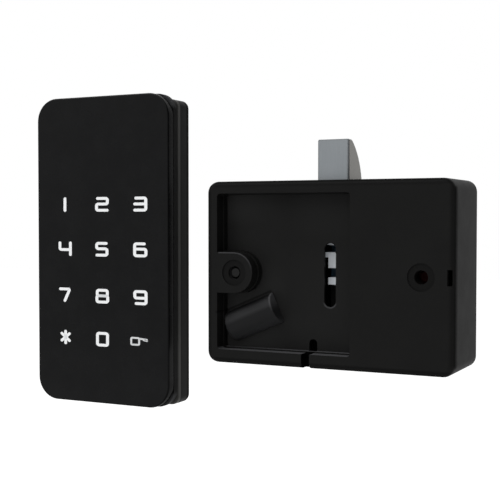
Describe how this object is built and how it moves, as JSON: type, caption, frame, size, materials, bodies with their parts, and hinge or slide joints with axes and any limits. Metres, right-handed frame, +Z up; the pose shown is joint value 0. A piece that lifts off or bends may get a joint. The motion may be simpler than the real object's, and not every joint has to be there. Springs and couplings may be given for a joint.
{
  "type": "electronic cabinet lock",
  "caption": "Electronic cabinet lock: a touch keypad for the door's outside and a battery lock unit with a sprung, motor-drawn latch bolt for its inside.",
  "frame": {"origin": "centre of the keypad unit's flat back face, between its two threaded inserts", "axes": "+X to the right, towards the lock unit; +Y back, out of the keypad's back face; +Z up, the way the bolt stands out"},
  "size_m": [0.1647, 0.03, 0.116],
  "materials": {
    "touch_gloss": "smooth glossy black",
    "case_black": "fine satin black",
    "lock_black": "fine satin black",
    "bolt_steel": "satin nickel-plated",
    "pin_steel": "plain steel",
    "white_acetal": "moulded white",
    "gear_acetal": "moulded natural white",
    "brass": "turned",
    "board_green": "green circuit board",
    "light_film": "milky sheet",
    "socket_white": "moulded cream",
    "cell_wrap": "printed sleeve, left plain",
    "magnet_nickel": "nickel-plated"
  },
  "bodies": {
    "units": {"touch_panel": "touch_gloss", "light_guide": "light_film", "touch_board": "board_green", "front_frame": "case_black", "rear_case": "case_black", "case_screw_1": "pin_steel", "case_screw_2": "pin_steel", "case_screw_3": "pin_steel", "case_screw_4": "pin_steel", "upper_insert": "brass", "lower_insert": "brass", "buzzer": "case_black", "keypad_socket": "socket_white", "lock_base": "lock_black", "battery_tray": "lock_black", "motor": "pin_steel", "wheel_axle": "pin_steel", "return_spring": "pin_steel", "cell_1": "cell_wrap", "cell_2": "cell_wrap", "cell_3": "cell_wrap", "cell_4": "cell_wrap", "left_terminal": "pin_steel", "upper_left_contact": "pin_steel", "lower_contact": "pin_steel", "upper_right_contact": "pin_steel", "right_terminal": "pin_steel", "control_board": "board_green", "board_screw_1": "pin_steel", "board_screw_2": "pin_steel", "board_screw_3": "pin_steel", "board_screw_4": "pin_steel", "tray_screw_1": "pin_steel", "tray_screw_2": "pin_steel", "tray_screw_3": "pin_steel", "tray_screw_4": "pin_steel", "lock_socket": "socket_white", "bolt_sensor": "case_black"},
    "bolt": {"latch_bolt": "bolt_steel", "bolt_pin": "pin_steel", "bolt_carriage": "white_acetal", "carriage_magnet": "magnet_nickel"},
    "crown": {"crown_wheel": "gear_acetal"},
    "pinion": {"motor_pinion": "brass"},
    "cover": {"rear_cover": "lock_black"}
  },
  "joints": [
    {"name": "bolt_slide", "type": "slide", "parent": "units", "child": "bolt", "axis": [0, 0, -1], "range_m": [0, 0.0135], "stiffness_N_per_m": 280, "springref_m": -0.007, "deforming": ["return_spring"]},
    {"name": "crown_spin", "type": "hinge", "parent": "units", "child": "crown", "pos_m": [0.07398, -0.0041, -0.01774], "axis": [0, 1, 0], "range_deg": [0, 258]},
    {"name": "motor_spin", "type": "hinge", "parent": "units", "child": "pinion", "pos_m": [0.061, -0.0091, -0.02325], "axis": [0.9205, 0, 0.3907], "range_deg": [0, 710]},
    {"name": "cover_lift", "type": "slide", "parent": "units", "child": "cover", "axis": [0, 1, 0], "range_m": [0, 0.04]}
  ],
  "couplings": [
    {"joint": "crown_spin", "follows": "bolt_slide", "rad_per_m": 333.33},
    {"joint": "motor_spin", "follows": "bolt_slide", "rad_per_m": 916.67}
  ]
}
